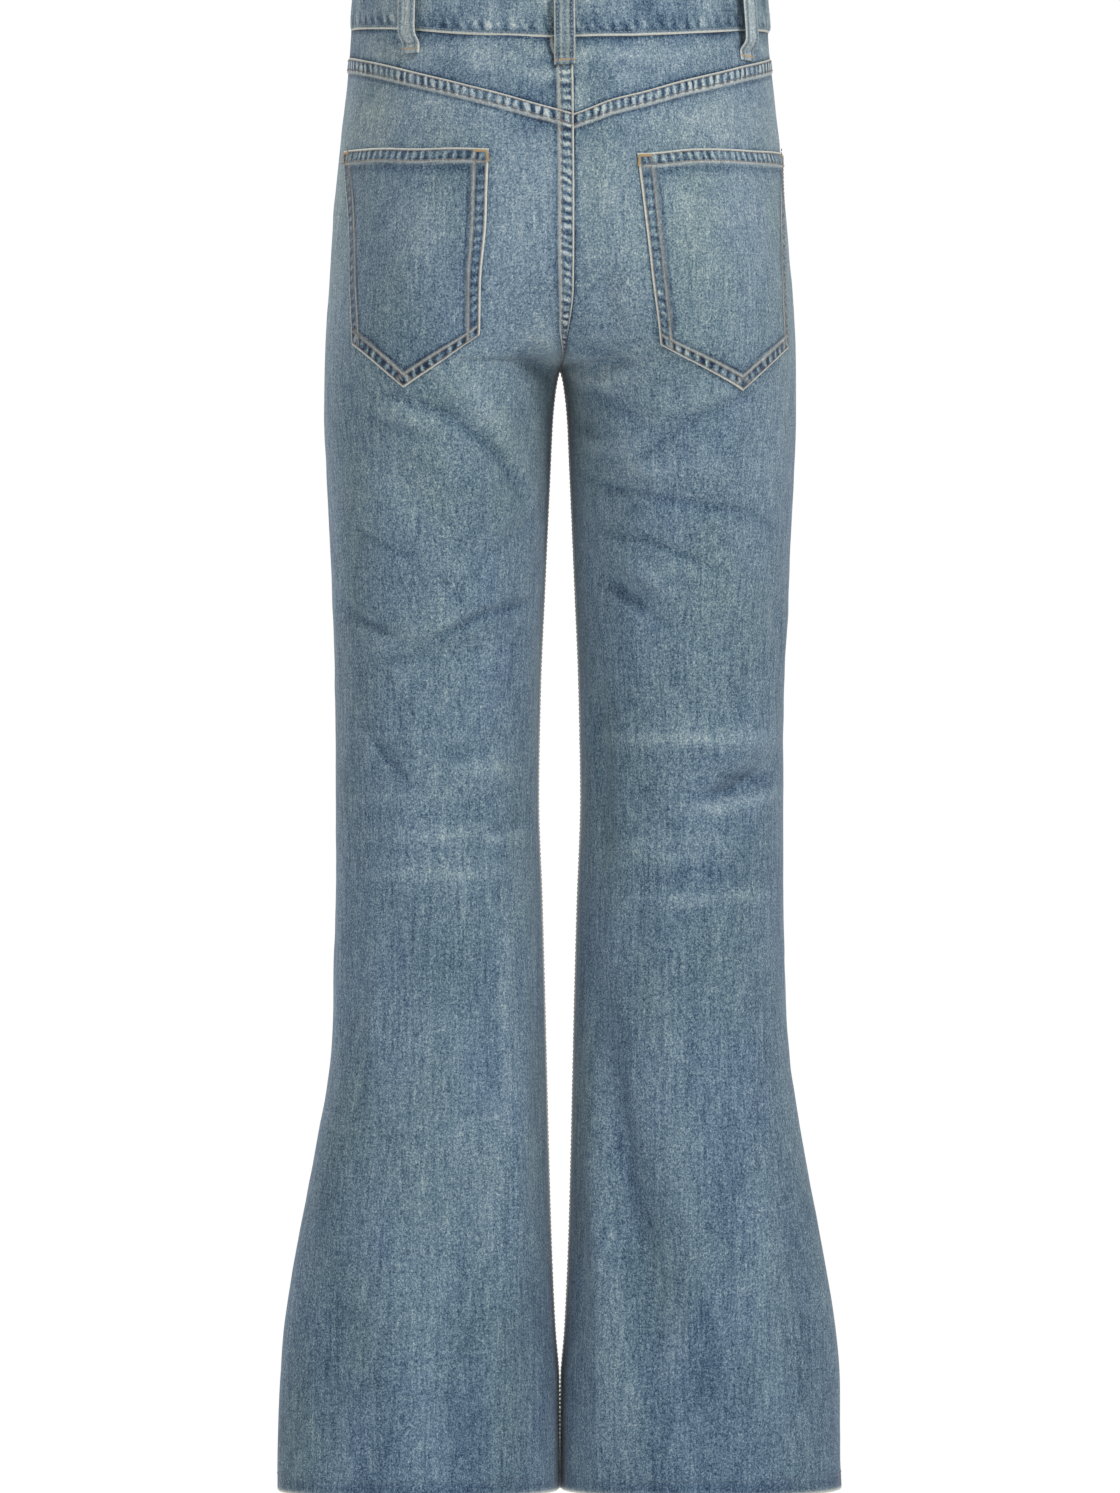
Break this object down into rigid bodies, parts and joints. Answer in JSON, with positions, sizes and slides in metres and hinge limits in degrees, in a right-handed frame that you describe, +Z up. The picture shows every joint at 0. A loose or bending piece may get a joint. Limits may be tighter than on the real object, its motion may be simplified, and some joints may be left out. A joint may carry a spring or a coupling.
{
  "type": "flared jeans",
  "caption": "Long denim jeans, filled out as worn, with an open waist, patch pockets behind, a buttoned fly front and legs that flare from the knee to open hems.",
  "frame": {"origin": "middle of the waist opening, at half the waistband's height at the sides", "axes": "+Z up, the front faces -Y, +X is the wearer's left"},
  "size_m": [0.4102, 0.2534, 1.0973],
  "materials": {
    "denim": "washed blue cotton twill, worn pale on its edges",
    "brass": "aged, satin"
  },
  "bodies": {
    "root": {"front_leg_left": "denim", "back_leg_left": "denim", "back_yoke_left": "denim", "back_pocket_left": "denim", "pocket_facing_left": "denim", "front_leg_right": "denim", "back_leg_right": "denim", "back_yoke_right": "denim", "back_pocket_right": "denim", "pocket_facing_right": "denim", "waistband": "denim", "belt_loop_centre_back": "denim", "belt_loop_back_left": "denim", "belt_loop_back_right": "denim", "belt_loop_front_left": "denim", "belt_loop_front_right": "denim", "fly_shield": "denim", "zip": "brass", "waist_button": "brass"}
  },
  "joints": []
}
